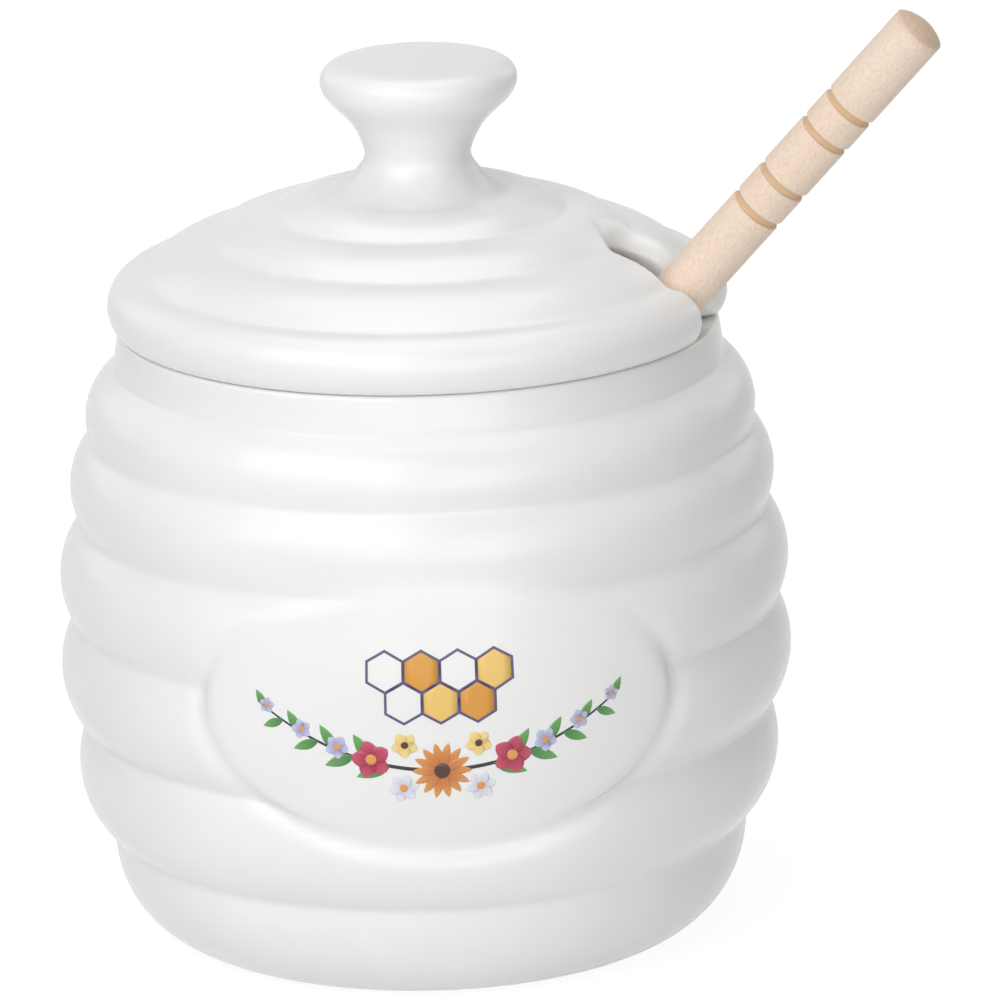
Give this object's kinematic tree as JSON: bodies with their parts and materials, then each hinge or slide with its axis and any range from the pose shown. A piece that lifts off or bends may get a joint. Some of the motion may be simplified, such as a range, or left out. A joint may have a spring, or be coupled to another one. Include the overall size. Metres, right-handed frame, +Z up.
{
  "type": "honey pot",
  "caption": "Ribbed beehive honey pot in white glazed ceramic with a smooth oval front panel, a knobbed lift-off lid with a rim notch, and a turned wooden dipper.",
  "frame": {"origin": "middle of the foot ring, on the plane that the pot stands on", "axes": "+Z up along the pot's axis, -Y out through the oval panel, +X to the right of someone who faces the panel"},
  "size_m": [0.1292, 0.1081, 0.1417],
  "materials": {
    "pot_glaze": "white glaze, glossy, soft over the ribs",
    "lid_glaze": "white glaze, glossy, soft over the rings",
    "dipper_wood": "bare pale beech, turned and sanded, matt"
  },
  "bodies": {
    "pot": {"pot": "pot_glaze"},
    "lid": {"lid": "lid_glaze"},
    "dipper": {"dipper": "dipper_wood"}
  },
  "joints": [
    {"name": "lid_lift", "type": "slide", "parent": "pot", "child": "lid", "axis": [0, 0, 1], "range_m": [0, 0.06]},
    {"name": "dipper_pull", "type": "slide", "parent": "pot", "child": "dipper", "axis": [0.6239, -0.2271, 0.7478], "range_m": [0, 0.06]}
  ]
}
